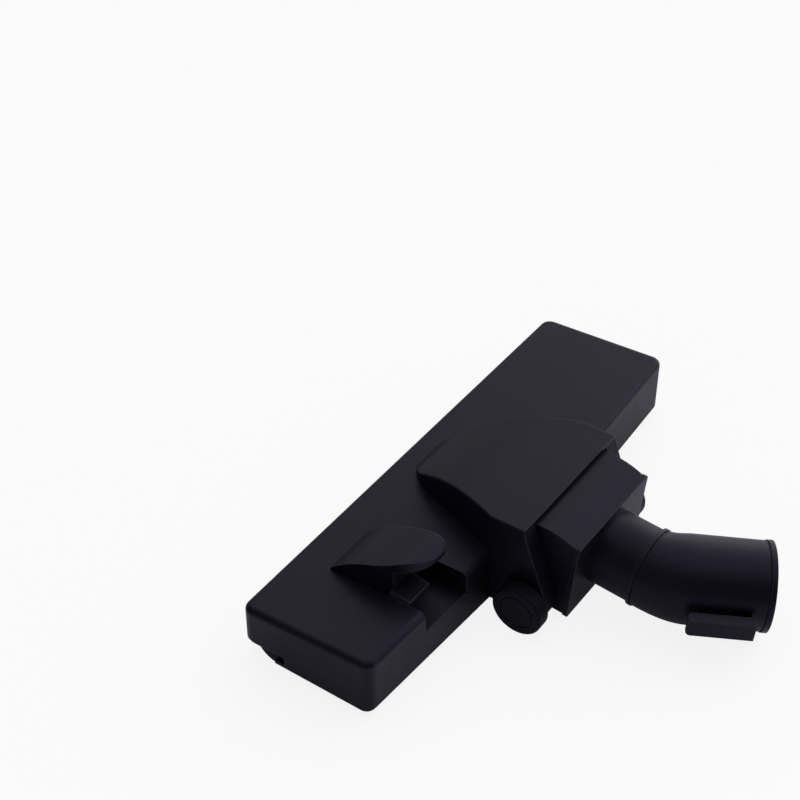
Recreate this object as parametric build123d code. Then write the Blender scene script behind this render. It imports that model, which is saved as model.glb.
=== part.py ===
from build123d import *

import os
from math import cos, radians, sin, sqrt, tan

# A combination floor nozzle for a vacuum cleaner, in millimetres.
# X runs along the head, +Y points forward and +Z up. The origin is on the sole, at the head's middle.

# Head: a long low housing with a swept rear edge
head_length = 260.0
head_depth = 77.0
rear_sweep = 6.4
front_height = 29.7
rear_height = 34.2
shell_wall = 2.5
corner_radius = 5.5
rear_bow_radius = 300.0
crown_radius = 3.2
skirt_height = 4.2
chin_height = 10.3
chin_depth = 23.9

# Wheels, the pins that they turn on, and the ears that carry the pins
wheel_diameter = 26.0
wheel_width = 7.9
wheel_gap = 0.8
wheel_cap = 2.2
wheel_edge = 1.2
wheel_groove_radius = 8.0
wheel_groove_width = 0.9
wheel_groove_depth = 0.8
wheel_web = 2.4
wheel_rim_wall = 2.6
wheel_hub_radius = 4.6
pin_diameter = 5.0
running_clearance = 0.05
pivot_setback = 17.4
ear_thickness = 8.5
ear_lobe_radius = 11.0
ear_side_gap = 1.5
ear_root_height = 30.5

# Knuckle: a drum sector that tilts between the ears, with a flanged spigot plate at its back
drum_radius = 39.55
drum_half_width = 30.4
drum_wall = 2.2
drum_gap = 0.7
drum_front_angle = 20.0
drum_lobe_radius = 7.0
drum_rear = 15.0
drum_boss_radius = 5.5
drum_boss_length = 6.4
rest_tilt = 5.0
flange_thickness = 2.4
flange_side = 1.0
flange_top = 0.5
flange_corner = 1.5
spigot_axis_height = 15.55
spigot_outer_radius = 18.5
spigot_bore_radius = 16.15
spigot_length = 20.65

# Hump: the raised middle of the housing that roofs the knuckle
hump_nose_radius = 23.0
hump_nose_reach = 28.3
hump_shoulder = 18.3
hump_overhang = 2.9
hump_crest = -33.0
hump_sink = 1.2
hump_edge = 0.9
hump_lip = 1.75

# Neck: an elbow that swivels in the spigot and takes the tube
neck_bend = 31.2
neck_bend_radius = 37.0
neck_swivel = 88.7
neck_start_radius = 19.0
neck_socket_radius = 20.9
neck_socket_length = 46.6
neck_bead_radius = 19.6
neck_bead_width = 1.6
neck_groove_width = 0.8
neck_groove_depth = 0.5
neck_seam_gap = 0.3
neck_rim_radius = 21.3
neck_rim_width = 2.6
sleeve_bore_radius = 14.2
sleeve_reach = 3.6
tube_bore_radius = 17.6
tube_seat_depth = 36.0
elbow_bore_radius = 15.2
clip_thickness = 1.7
clip_height = 3.0
clip_bite = 0.9
clip_gap_angle = 50.0
seal_width = 2.0
seal_height = 1.1
seal_position = 8.0
fit_gap = 0.3

# Parking hook on the outside of the bend
hook_length = 30.3
hook_width = 9.7
hook_thickness = 5.4
hook_slot = 2.8
hook_web = 1.8
hook_from_rim = 8.2
hook_corner = 2.0

# Base plate with its front lip, suction channel and brush slots
base_margin = 1.0
base_bevel = 2.4
lip_radius = 12.0
lip_start = 21.0
lip_wall = 2.4
lip_end = 2.2
ledge_thickness = 2.0
channel_centre = 1.0
channel_width = 18.0
channel_end = 12.0
channel_height = 7.0
channel_wall = 2.0
mouth_length = 52.0
rib_thickness = 2.4
rib_spacing = 36.0
slot_gap = 0.5
slot_width = 4.0
slot_end = 17.0
apron_reach = 17.0
lint_width = 7.0
lint_depth = 1.0
lint_end = 17.0
lint_start = 53.0
lint_setback = 25.0
screw_head_radius = 2.9
screw_head_height = 2.0
screw_shank_radius = 1.45
screw_length = 14.0
screw_end = 9.0
screw_inner_spread = 47.0
screw_rear = 27.0
boss_radius = 3.4

# Pedal in its notch, and the brush frame that it moves
notch_centre = -74.5
notch_width = 30.6
notch_front = 19.2
notch_floor = 22.1
pedal_side_gap = 0.5
pedal_front_gap = 0.5
pedal_wall = 2.2
pedal_side_wall = 4.2
pedal_pivot_y = 8.0
pedal_pivot_z = 27.0
pedal_boss_radius = 3.4
pedal_peak_y = -15.5
pedal_peak_z = 50.2
pedal_tip_y = -26.0
pedal_tip_z = 46.8
pedal_waist_y = -3.1
pedal_waist_z = 46.0
pedal_front_rise = 1.0
pedal_lip = 2.2
pedal_mouth_y = -14.0
pedal_left_share = 0.78
pedal_right_share = 0.15
pedal_shelf_y = -24.3
pedal_shelf_z = 33.2
pedal_shelf_rise = 1.8
pedal_shelf_width = 16.4
pedal_shelf_bevel = 1.4
pedal_travel = 14.0
pedal_pin_diameter = 3.0
link_back = 16.0
link_rise = 1.96
link_pin_diameter = 3.0
link_gap = 0.35
link_play = 0.6
link_rib = 3.0
link_rib_depth = 6.0
link_ear = 2.6
post_depth = 6.0
post_gap = 1.2
frame_bar_width = 5.0
frame_bar_height = 7.5
frame_bar_z = 11.0
frame_bridge_height = 3.0
frame_bridge_width = 8.0
bristle_width = 3.0
bristle_rest = 0.8
tuft_pitch = 5.6
tuft_gap = 0.7
tuft_root = 2.5
detent_width = 10.0
detent_length = 12.0
detent_thickness = 0.5
detent_rise = 0.4

# Places worked out from the sizes above
head_front = head_depth / 2
head_rear = -head_depth / 2
top_slope = (rear_height - front_height) / head_depth
pivot_y = head_rear - pivot_setback
pivot_z = wheel_diameter / 2
pin_radius = pin_diameter / 2
ear_inner = drum_half_width + ear_side_gap
ear_outer = ear_inner + ear_thickness
wheel_inner = ear_outer + wheel_gap
hump_rear = pivot_y + hump_overhang
roof_radius = drum_radius + drum_gap
hump_top = pivot_z + roof_radius + hump_lip
flange_back = drum_rear + flange_thickness
spigot_end = flange_back + spigot_length
bend_start = spigot_end + neck_seam_gap
bend_tangent = neck_bend_radius * tan(radians(neck_bend / 2))
sleeve_end = drum_rear - sleeve_reach
clip_back = drum_rear - fit_gap
base_top = skirt_height
head_half = head_length / 2
channel_half = head_half - channel_end
slot_length = head_length - 2 * slot_end
channel_front = channel_centre + channel_width / 2
channel_rear = channel_centre - channel_width / 2
slot_offset = channel_width / 2 + channel_wall + slot_gap + frame_bar_width / 2
front_slot = channel_centre + slot_offset
rear_slot = channel_centre - slot_offset
pedal_half = notch_width / 2 - pedal_side_gap
pedal_front = notch_front - pedal_front_gap
link_y = pedal_pivot_y - link_back
link_z = pedal_pivot_z + link_rise
bridge_z = frame_bar_z + frame_bar_height - frame_bridge_height
screw_places = [
    (side * spread, -screw_rear)
    for side in (-1, 1)
    for spread in (head_half - screw_end, screw_inner_spread)
]


def top_at(y):
    """Height of the housing's sloping top at a place along Y."""
    return front_height + top_slope * (head_front - y)


# The hump's roof is an arc from the housing's top at the nose to a level crest.
hump_rise = hump_top - top_at(hump_nose_reach) + hump_sink
hump_arch = ((hump_nose_reach - hump_crest) ** 2 + hump_rise**2) / (2 * hump_rise)


def block(x_from, x_to, y_from, y_to, z_from, z_to):
    """A box between two values on each axis."""
    size = (x_to - x_from, y_to - y_from, z_to - z_from)
    centre = ((x_from + x_to) / 2, (y_from + y_to) / 2, (z_from + z_to) / 2)
    return Pos(*centre) * Box(*size)


def along_x(sketch, x_from, x_to):
    """A side outline, drawn as (y, z), carried from one X to another."""
    return Pos(x_from, 0, 0) * extrude(Plane.YZ * sketch, amount=x_to - x_from)


def rod(radius, x_from, x_to, y, z):
    """A round bar that lies along X."""
    return Pos((x_from + x_to) / 2, y, z) * Rot(0, 90, 0) * Cylinder(radius, x_to - x_from)


def post(radius, x, y, z_from, z_to):
    """A round bar that stands along Z."""
    return Pos(x, y, (z_from + z_to) / 2) * Cylinder(radius, z_to - z_from)


def both_sides(solid):
    """A solid and its mirror image across the head's middle."""
    return solid + mirror(solid, about=Plane.YZ)


def head_outline(inset, radius):
    """The head's plan: straight front and ends, and a rear edge swept forward at both ends."""
    half = head_half - inset
    front = head_front - inset
    rear_middle = head_rear + inset
    rear_end = rear_middle + rear_sweep
    points = [(-half, front), (half, front), (half, rear_end), (0, rear_middle), (-half, rear_end)]
    face = make_face(Polyline(*points, close=True))
    corners = face.vertices().sort_by(lambda corner: abs(corner.X))
    rounded = fillet(corners[1:], radius)
    middle = rounded.vertices().sort_by(lambda corner: abs(corner.X))[0]
    return fillet([middle], rear_bow_radius)


def head_block(inset, bottom):
    """The low housing, inset on its sides and top by the same amount."""
    radius = corner_radius - inset
    tall = Pos(0, 0, bottom) * extrude(head_outline(inset, radius), amount=rear_height)
    top = Plane(origin=(0, head_front, front_height - inset), z_dir=(0, top_slope, 1))
    low = split(tall, bisect_by=top, keep=Keep.BOTTOM)
    crown = low.faces().sort_by(Axis.Z)[-1]
    return fillet(crown.edges(), crown_radius - inset)


def hump_block(inset, half_width, bottom):
    """The hump: a tapered plan with a round nose, under a roof that arches up from the nose."""
    nose = Circle(hump_nose_radius - inset)
    nose_y = hump_nose_reach - hump_nose_radius
    shoulder_y = hump_rear + hump_shoulder
    rear_y = hump_rear - inset
    tail = Pos(0, (shoulder_y + rear_y) / 2) * Rectangle(2 * half_width, shoulder_y - rear_y)
    plan = make_hull(ShapeList((Pos(0, nose_y) * nose).edges()) + ShapeList(tail.edges()))
    tall = Pos(0, 0, bottom) * extrude(plan, amount=hump_top)
    level = hump_top - inset
    arch = Pos(hump_crest, hump_top - hump_arch) * Circle(hump_arch - inset)
    flat = Pos((hump_crest + rear_y) / 2, (bottom + level) / 2) * Rectangle(
        hump_crest - rear_y, level - bottom
    )
    return tall & along_x(arch + flat, -2 * half_width, 2 * half_width)


def round_crest(hump):
    """Ease the edges between the hump's roof and its walls."""
    foot = top_at(hump_nose_reach) - hump_sink
    upper = hump.edges().filter_by(lambda edge: edge.center().Z > foot)
    crest = upper - upper.filter_by(Axis.X) - upper.filter_by(Axis.Z)
    return fillet(crest, hump_edge)


def ear_plate():
    """The ear's side: a lobe round the axle, a slanting rear edge and a root in the hump."""
    lobe = Pos(pivot_y, pivot_z) * Circle(ear_lobe_radius)
    root = Polyline(
        (head_rear, skirt_height),
        (head_rear, ear_root_height),
        (hump_rear, hump_top - hump_lip),
        (hump_rear, skirt_height),
        close=True,
    )
    outline = make_hull(ShapeList(lobe.edges()) + ShapeList(root.edges()))
    return along_x(outline, ear_inner, ear_outer)


def notch_block(margin):
    """The pedal's notch, open at the rear, or the same with its walls when given a margin."""
    half = notch_width / 2 + margin
    return block(
        notch_centre - half,
        notch_centre + half,
        head_rear - rear_sweep,
        notch_front + margin,
        notch_floor - margin,
        2 * rear_height,
    )


def make_upper_shell():
    """Housing: head, hump and ears, hollow from below, with the notch and the knuckle's well."""
    outside = head_block(0, skirt_height) + round_crest(hump_block(0, ear_outer, skirt_height))
    outside += both_sides(ear_plate())
    hollow = head_block(shell_wall, 0) - notch_block(shell_wall)
    hollow += hump_block(shell_wall, ear_inner, 0)
    shell = outside - hollow
    shell -= notch_block(0)
    shell -= block(
        -head_length,
        head_length,
        head_front - chin_depth,
        head_depth,
        0,
        chin_height,
    )
    shell -= rod(roof_radius, -ear_inner, ear_inner, pivot_y, pivot_z)
    for x, y in screw_places:
        pillar = post(boss_radius, x, y, base_top, top_at(y) - shell_wall / 2)
        shell += pillar - notch_block(0)
        shell -= post(screw_shank_radius, x, y, 0, screw_head_height + screw_length)
    shell -= rod(pin_radius, -2 * ear_outer, 2 * ear_outer, pivot_y, pivot_z)
    shell -= pedal_pin_bar()
    shell -= block(
        notch_centre - link_rib / 2 - link_ear - link_gap - post_gap,
        notch_centre + link_rib / 2 + link_ear + link_gap + post_gap,
        link_y - post_depth / 2 - post_gap,
        link_y + post_depth / 2 + post_gap,
        0,
        notch_floor + shell_wall,
    )
    return shell


def make_base_plate():
    """Sole: a plate with a rounded front lip, a suction channel, brush slots and screw holes."""
    half = head_half - base_margin
    front = head_front - base_margin
    lip_centre = (lip_start, lip_radius)
    solid_lip = Pos(*lip_centre) * Circle(lip_radius)
    lip_rear = head_front - chin_depth + fit_gap
    lip_side = Pos((lip_rear + lip_start) / 2, chin_height / 2) * Rectangle(
        lip_start - lip_rear, chin_height
    )
    window = Pos((lip_rear + front) / 2, chin_height / 2) * Rectangle(front - lip_rear, chin_height)
    lip = (solid_lip + lip_side) & window
    ledge = Pos((lip_start + front) / 2, chin_height - ledge_thickness / 2) * Rectangle(
        front - lip_start, ledge_thickness
    )
    lip_hollow = Pos(*lip_centre) * Circle(lip_radius - lip_wall)
    plate = block(-half, half, head_rear + base_margin, lip_start, 0, base_top)
    lip_half = half - lip_end
    plate += along_x(lip, -lip_half, lip_half)
    plate += along_x(ledge, -half, half)
    around = extrude(head_outline(base_margin, corner_radius - base_margin), amount=rear_height)
    plate &= chamfer(around.faces().sort_by(Axis.Z)[0].edges(), base_bevel)
    inner = lip_half - lip_wall
    plate -= along_x(lip_hollow, -inner, inner)
    plate -= block(-inner, inner, lip_rear - fit_gap, lip_start, base_top, chin_height)
    plate += block(
        -channel_half - channel_wall,
        channel_half + channel_wall,
        channel_rear - channel_wall,
        channel_front + channel_wall,
        0,
        channel_height + channel_wall,
    )
    plate -= block(
        -channel_half, channel_half, channel_rear, channel_front, 0, channel_height
    )
    plate -= block(
        -mouth_length / 2,
        mouth_length / 2,
        channel_rear,
        channel_front,
        0,
        channel_height + channel_wall,
    )
    ribs = int(channel_half / rib_spacing)
    for place in range(-ribs, ribs + 1):
        centre = place * rib_spacing
        plate += block(
            centre - rib_thickness / 2,
            centre + rib_thickness / 2,
            channel_rear,
            channel_front,
            0,
            channel_height + channel_wall,
        )
    for slot in (front_slot, rear_slot):
        plate -= block(
            -slot_length / 2,
            slot_length / 2,
            slot - slot_width / 2,
            slot + slot_width / 2,
            0,
            base_top,
        )
    apron_half = ear_inner - fit_gap
    plate += block(
        -apron_half,
        apron_half,
        head_rear - apron_reach + base_margin,
        head_rear + 2 * base_margin,
        skirt_height / 4,
        base_top,
    )
    for strip in (-1, 1):
        plate -= lint_bar(strip, lint_depth)
    for x, y in screw_places:
        plate -= post(screw_shank_radius, x, y, 0, base_top)
        plate -= post(screw_head_radius, x, y, 0, screw_head_height)
    return plate


def lint_bar(side, thickness):
    """One thread-lifting strip in the rear of the sole."""
    start = side * lint_start
    end = side * (head_half - lint_end)
    return block(
        min(start, end),
        max(start, end),
        -lint_setback - lint_width / 2,
        -lint_setback + lint_width / 2,
        lint_depth - thickness,
        lint_depth,
    )


def make_screws():
    """The screws that hold the sole to the housing, as separate solids."""
    screws = []
    for x, y in screw_places:
        screw = post(screw_head_radius, x, y, fit_gap, screw_head_height)
        screws.append(screw + post(screw_shank_radius, x, y, fit_gap, screw_head_height + screw_length))
    return Compound(children=screws)


def make_wheel(side):
    """A moulded wheel with a plain cap, a ring groove and an open inner side."""
    outer = wheel_inner + wheel_width
    bore_end = outer - wheel_cap
    wheel = rod(wheel_diameter / 2, wheel_inner, outer, pivot_y, pivot_z)
    wheel = fillet(wheel.edges().filter_by(GeomType.CIRCLE), wheel_edge)
    groove = rod(
        wheel_groove_radius + wheel_groove_width,
        outer - wheel_groove_depth,
        outer,
        pivot_y,
        pivot_z,
    )
    groove -= rod(wheel_groove_radius, outer - wheel_groove_depth, outer, pivot_y, pivot_z)
    recess = rod(
        wheel_diameter / 2 - wheel_rim_wall, wheel_inner, outer - wheel_web, pivot_y, pivot_z
    )
    recess -= rod(wheel_hub_radius, wheel_inner, outer - wheel_web, pivot_y, pivot_z)
    wheel -= groove
    wheel -= recess
    wheel -= rod(pin_radius + running_clearance, wheel_inner, bore_end, pivot_y, pivot_z)
    if side < 0:
        return mirror(wheel, about=Plane.YZ)
    return wheel


def make_pivot_pin(side):
    """A steel pin pressed into an ear: the knuckle tilts on its inner end, the wheel on its outer."""
    start = drum_half_width - drum_boss_length + fit_gap
    end = wheel_inner + wheel_width - wheel_cap - fit_gap
    pin = rod(pin_radius, start, end, pivot_y, pivot_z)
    if side < 0:
        return mirror(pin, about=Plane.YZ)
    return pin


# The knuckle and the neck are drawn level, with the tilt axis as their origin, and then placed.
knuckle_place = Pos(0, pivot_y, pivot_z) * Rot(rest_tilt, 0, 0)
neck_place = knuckle_place * Pos(0, 0, spigot_axis_height) * Rot(0, neck_swivel, 0)


def drum_outline(radius, lobe):
    """The knuckle's side: a drum arc, a flat back and a lobe round the tilt axis."""
    top_rear = (-drum_rear, sqrt(radius**2 - drum_rear**2))
    front = radians(drum_front_angle)
    arc = ThreePointArc(top_rear, (0, radius), (radius * sin(front), radius * cos(front)))
    back = Line(top_rear, (-drum_rear, -lobe))
    return make_hull(ShapeList(Circle(lobe).edges()) + ShapeList([arc, back]))


def make_knuckle_drum():
    """Drum sector: two cheeks, a curved roof and a floor, open to the front for the air."""
    cheek_inner = drum_half_width - drum_wall
    outline = drum_outline(drum_radius, drum_lobe_radius)
    drum = both_sides(along_x(outline, cheek_inner, drum_half_width))
    band = outline & (Circle(drum_radius) - Circle(drum_radius - drum_wall))
    upper = Pos(0, drum_radius) * Rectangle(2 * drum_radius, drum_radius)
    drum += along_x(band & upper, -drum_half_width, drum_half_width)
    floor_middle = (-drum_rear / 2, -drum_lobe_radius + drum_wall / 2)
    floor = Pos(*floor_middle) * Rectangle(drum_rear, drum_wall)
    drum += along_x(floor, -drum_half_width, drum_half_width)
    boss_start = drum_half_width - drum_boss_length
    drum += both_sides(rod(drum_boss_radius, boss_start, drum_half_width, 0, 0))
    drum -= both_sides(rod(pin_radius + running_clearance, boss_start, drum_half_width, 0, 0))
    return knuckle_place * drum


def ring(outer_radius, inner_radius, back_from, back_to, height=0.0):
    """A round collar about the swivel axis, between two distances behind the tilt axis."""
    middle = -(back_from + back_to) / 2
    place = Pos(0, middle, height) * Rot(90, 0, 0)
    width = back_to - back_from
    return place * (Cylinder(outer_radius, width) - Cylinder(inner_radius, width))


def disc(radius, back_from, back_to, height=0.0):
    """A round bar about the swivel axis, between two distances behind the tilt axis."""
    place = Pos(0, -(back_from + back_to) / 2, height) * Rot(90, 0, 0)
    return place * Cylinder(radius, back_to - back_from)


def make_spigot_plate():
    """Rear plate of the knuckle, a little proud of the drum, with the spigot for the neck."""
    drum_top = sqrt(drum_radius**2 - drum_rear**2)
    low = -drum_lobe_radius - flange_top
    high = drum_top + flange_top
    half = drum_half_width + flange_side
    plate = block(-half, half, -flange_back, -drum_rear, low, high)
    plate = fillet(plate.edges().filter_by(Axis.Y), flange_corner)
    plate += disc(spigot_outer_radius, drum_rear, spigot_end, spigot_axis_height)
    plate -= disc(spigot_bore_radius, drum_rear, spigot_end, spigot_axis_height)
    return knuckle_place * plate


def bend_plane(angle):
    """The neck's cross-section plane at an angle round the bend, facing along the tube."""
    turn = radians(angle)
    back = bend_start + neck_bend_radius * sin(turn)
    rise = neck_bend_radius * (1 - cos(turn))
    return Plane(origin=(0, -back, rise), x_dir=(1, 0, 0), z_dir=(0, -cos(turn), sin(turn)))


def bend_radius_at(angle):
    """The neck's outer radius round the bend, easing from the seam to the socket."""
    share = angle / neck_bend
    ease = share * share * (3 - 2 * share)
    return neck_start_radius + (neck_socket_radius - neck_start_radius) * ease


def make_neck():
    """Elbow: sleeve, bead, bend, tube socket with a rim, and the parking hook, in one moulding."""
    sections = [
        bend_plane(neck_bend * step / 4) * Circle(bend_radius_at(neck_bend * step / 4))
        for step in range(5)
    ]
    socket = bend_plane(neck_bend)
    straight = neck_socket_length - bend_tangent
    neck = loft(sections)
    neck += extrude(socket * Circle(neck_socket_radius), amount=straight)
    rim_plane = socket.offset(straight - neck_rim_width)
    neck += extrude(rim_plane * Circle(neck_rim_radius), amount=neck_rim_width)
    bead_end = bend_start + neck_bead_width
    neck += disc(neck_bead_radius, bend_start, bead_end)
    neck -= ring(
        neck_bead_radius, neck_start_radius - neck_groove_depth, bead_end, bead_end + neck_groove_width
    )
    groove = Circle(neck_rim_radius) - Circle(neck_socket_radius - neck_groove_depth)
    neck -= extrude(rim_plane.offset(-neck_groove_width) * groove, amount=neck_groove_width)
    neck += disc(spigot_bore_radius - running_clearance, sleeve_end, bend_start)
    neck += make_hook(socket, straight)
    bore = [bend_plane(neck_bend * step / 4) * Circle(elbow_bore_radius) for step in range(5)]
    neck -= loft(bore)
    neck -= disc(sleeve_bore_radius, sleeve_end, bend_start)
    neck -= extrude(socket * Circle(elbow_bore_radius), amount=straight)
    seat = socket.offset(straight - tube_seat_depth)
    neck -= extrude(seat * Circle(tube_bore_radius), amount=tube_seat_depth)
    sleeve_radius = spigot_bore_radius - running_clearance
    neck -= ring(sleeve_radius, sleeve_radius - clip_bite, clip_back - clip_thickness, clip_back)
    seal_back = spigot_end - seal_position
    neck -= ring(sleeve_radius, sleeve_radius - seal_height, seal_back - seal_width, seal_back)
    return neck_place * neck


def make_hook(socket, straight):
    """Parking hook: a bar beside the socket, joined to it by a web at the rim end."""
    hook_end = straight - hook_from_rim
    under = neck_socket_radius + hook_slot
    bar = Pos(0, -under - hook_thickness / 2, hook_end - hook_length / 2) * Box(
        hook_width, hook_thickness, hook_length
    )
    free_end = bar.edges().filter_by(Axis.X).sort_by(Axis.Z)[:2]
    bar = fillet(free_end, hook_corner)
    web_depth = under + hook_thickness - tube_bore_radius - 2 * fit_gap
    web = Pos(0, -under - hook_thickness + web_depth / 2, hook_end - hook_web / 2) * Box(
        hook_width, web_depth, hook_web
    )
    return socket.location * (bar + web)


def make_swivel_clip():
    """Open spring ring in the sleeve's groove, which keeps the neck in the spigot."""
    inner = spigot_bore_radius - running_clearance - clip_bite
    clip = ring(inner + clip_height, inner, clip_back - clip_thickness, clip_back)
    half = clip_gap_angle / 2
    reach = inner + 2 * clip_height
    corners = [
        (0, 0),
        (-reach * sin(radians(half)), -reach * cos(radians(half))),
        (reach * sin(radians(half)), -reach * cos(radians(half))),
    ]
    wedge = extrude(Plane.XZ * make_face(Polyline(*corners, close=True)), amount=spigot_end)
    return neck_place * (clip - wedge)


def make_swivel_seal():
    """Sealing ring in the sleeve, inside the spigot."""
    outer = spigot_bore_radius - 2 * running_clearance
    inner = spigot_bore_radius - running_clearance - seal_height
    back = spigot_end - seal_position
    return neck_place * ring(outer, inner, back - seal_width, back)


def tread_line(inset):
    """The pedal's tread from the side: an arch from its front edge to its peak."""
    front = pedal_front - inset
    return ThreePointArc(
        (front, top_at(front) + pedal_front_rise - inset),
        (pedal_waist_y, pedal_waist_z - inset),
        (pedal_peak_y, pedal_peak_z - inset),
    )


def pedal_bottom(y):
    """Height of the pedal's underside, cut so that it lies level when the pedal is down."""
    return pedal_pivot_z - pedal_boss_radius + (pedal_pivot_y - y) * tan(radians(pedal_travel))


def pedal_outline():
    """The pedal's side: an arched tread that reaches back over an open mouth."""
    bottom = pedal_bottom(pedal_pivot_y)
    tread = tread_line(0)
    tail = TangentArc((pedal_peak_y, pedal_peak_z), (pedal_tip_y, pedal_tip_z), tangent=tread % 1)
    rest = Polyline(
        (pedal_tip_y, pedal_tip_z),
        (pedal_tip_y, pedal_tip_z - pedal_lip),
        (pedal_mouth_y, pedal_tip_z - pedal_lip),
        (pedal_mouth_y, pedal_bottom(pedal_mouth_y)),
        (pedal_pivot_y, bottom),
        (pedal_front - pedal_boss_radius, bottom),
        (pedal_front, pedal_pivot_z),
        (pedal_front, top_at(pedal_front) + pedal_front_rise),
    )
    return make_face(ShapeList([tread, tail]) + ShapeList(rest.edges()))


def pedal_plan():
    """The tread's plan, rounded hard at its outer rear corner."""
    depth = pedal_front - pedal_tip_y
    plan = Pos(notch_centre, pedal_front - depth / 2) * Rectangle(2 * pedal_half, depth)
    rear = plan.vertices().sort_by(Axis.Y)[:2].sort_by(Axis.X)
    plan = fillet([rear[0]], 2 * pedal_half * pedal_left_share)
    rear = plan.vertices().sort_by(Axis.X)[-2:].sort_by(Axis.Y)
    return fillet([rear[0]], 2 * pedal_half * pedal_right_share)


def pedal_room():
    """The room under the tread in front of the mouth, open below."""
    roof = tread_line(pedal_wall)
    front = pedal_front - pedal_wall
    sides = Polyline(roof @ 1, (pedal_peak_y, notch_floor), (front, notch_floor), roof @ 0)
    face = make_face(ShapeList([roof]) + ShapeList(sides.edges()))
    half = pedal_half - pedal_side_wall
    room = along_x(face, notch_centre - half, notch_centre + half)
    rear = pedal_mouth_y + pedal_wall
    return room & block(-head_length, 0, rear, notch_front, 0, 2 * rear_height)


def pedal_shelf():
    """The low shelf behind the mouth, with a bevel along its outer edge."""
    side = Polyline(
        (pedal_mouth_y, pedal_shelf_z + pedal_shelf_rise),
        (pedal_shelf_y, pedal_shelf_z),
        (pedal_shelf_y, pedal_bottom(pedal_shelf_y)),
        (pedal_mouth_y, pedal_bottom(pedal_mouth_y)),
        close=True,
    )
    left = notch_centre - pedal_half
    shelf = along_x(make_face(side), left, left + pedal_shelf_width)
    edge = shelf.edges().sort_by(Axis.X)[:4].sort_by(Axis.Z)[-1]
    return chamfer([edge], pedal_shelf_bevel)


def make_pedal():
    """Foot pedal: an arched tread on a cross pin, with a slotted rib that works the brushes."""
    left = notch_centre - pedal_half
    right = notch_centre + pedal_half
    pedal = along_x(pedal_outline(), left, right) & extrude(pedal_plan(), amount=2 * pedal_peak_z)
    pedal -= pedal_room()
    pedal += pedal_shelf()
    pedal += rod(pedal_boss_radius, left, right, pedal_pivot_y, pedal_pivot_z)
    pedal += make_link_rib()
    pin_space = pedal_pin_diameter / 2 + running_clearance
    pedal -= rod(pin_space, left, right, pedal_pivot_y, pedal_pivot_z)
    return pedal


def make_link_rib():
    """The pedal's slotted tongue, which carries the brush frame's cross pin."""
    foot = link_z - link_pin_diameter / 2 - link_gap - pedal_wall
    tongue = block(
        notch_centre - link_rib / 2,
        notch_centre + link_rib / 2,
        link_y - link_rib_depth / 2,
        link_y + link_rib_depth / 2,
        foot,
        pedal_waist_z - pedal_wall / 2,
    )
    slot_height = link_pin_diameter + 2 * link_gap
    slot = Pos(link_y, link_z) * SlotOverall(slot_height + 2 * link_play, slot_height)
    return tongue - along_x(slot, notch_centre - link_rib, notch_centre + link_rib)


def make_link_pin():
    """Steel cross pin in the brush frame's clevis."""
    half = link_rib / 2 + link_gap + link_ear
    return rod(link_pin_diameter / 2, notch_centre - half, notch_centre + half, link_y, link_z)


def make_brush_frame():
    """Frame that carries both brush strips, with a clevis that rises through the notch's floor."""
    half = slot_length / 2 - frame_bar_width / 2
    top = frame_bar_z + frame_bar_height
    frame = None
    for slot in (front_slot, rear_slot):
        bar = block(
            -half,
            half,
            slot - frame_bar_width / 2,
            slot + frame_bar_width / 2,
            frame_bar_z,
            top,
        )
        bar -= block(
            -half,
            half,
            slot - bristle_width / 2,
            slot + bristle_width / 2,
            frame_bar_z,
            frame_bar_z + tuft_root,
        )
        frame = bar if frame is None else frame + bar
    end_bridge = half - frame_bridge_width / 2
    for x in (-end_bridge, notch_centre, -notch_centre, end_bridge):
        frame += block(
            x - frame_bridge_width / 2,
            x + frame_bridge_width / 2,
            rear_slot,
            front_slot,
            bridge_z,
            top,
        )
    inner = link_rib / 2 + link_gap
    for side in (-1, 1):
        start = notch_centre + side * inner
        end = notch_centre + side * (inner + link_ear)
        cheek = Pos(link_y, (bridge_z + link_z) / 2) * Rectangle(post_depth, link_z - bridge_z)
        cheek += Pos(link_y, link_z) * Circle(post_depth / 2)
        cheek -= Pos(link_y, link_z) * Circle(link_pin_diameter / 2)
        frame += along_x(cheek, min(start, end), max(start, end))
    return frame


def make_bristles(slot):
    """A strip of bristle tufts on its backing, held in one bar of the brush frame."""
    length = slot_length - frame_bar_width
    height = frame_bar_z + tuft_root - bristle_rest
    strip = Pos(0, bristle_rest + height / 2) * Rectangle(length, height)
    free = frame_bar_z - bristle_rest
    count = int(length / tuft_pitch)
    gaps = Pos(0, bristle_rest + free / 2) * GridLocations(tuft_pitch, free, count, 1)
    strip -= gaps * Rectangle(tuft_gap, free)
    return Pos(0, slot + bristle_width / 2, 0) * extrude(Plane.XZ * strip, amount=bristle_width)


def make_detent_spring():
    """Bowed leaf spring on the notch's floor, under the pedal's pivot."""
    front = pedal_pivot_y + detent_length / 2
    rear = pedal_pivot_y - detent_length / 2
    crest = notch_floor + detent_rise
    under = ThreePointArc((rear, notch_floor), (pedal_pivot_y, crest), (front, notch_floor))
    over = Pos(0, detent_thickness) * under
    front_edge = Line((front, notch_floor), (front, notch_floor + detent_thickness))
    rear_edge = Line((rear, notch_floor + detent_thickness), (rear, notch_floor))
    leaf = make_face(ShapeList([under, front_edge, over, rear_edge]))
    return along_x(leaf, notch_centre - detent_width / 2, notch_centre + detent_width / 2)


def pedal_pin_bar():
    """The pedal's cross pin, which reaches into both walls of the notch."""
    half = notch_width / 2 + shell_wall - fit_gap
    return rod(
        pedal_pin_diameter / 2,
        notch_centre - half,
        notch_centre + half,
        pedal_pivot_y,
        pedal_pivot_z,
    )


def save(name, solid):
    """Write one piece under its own name."""
    solid.label = name
    export_step(solid, os.path.join("parts", name + ".step"))


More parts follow.
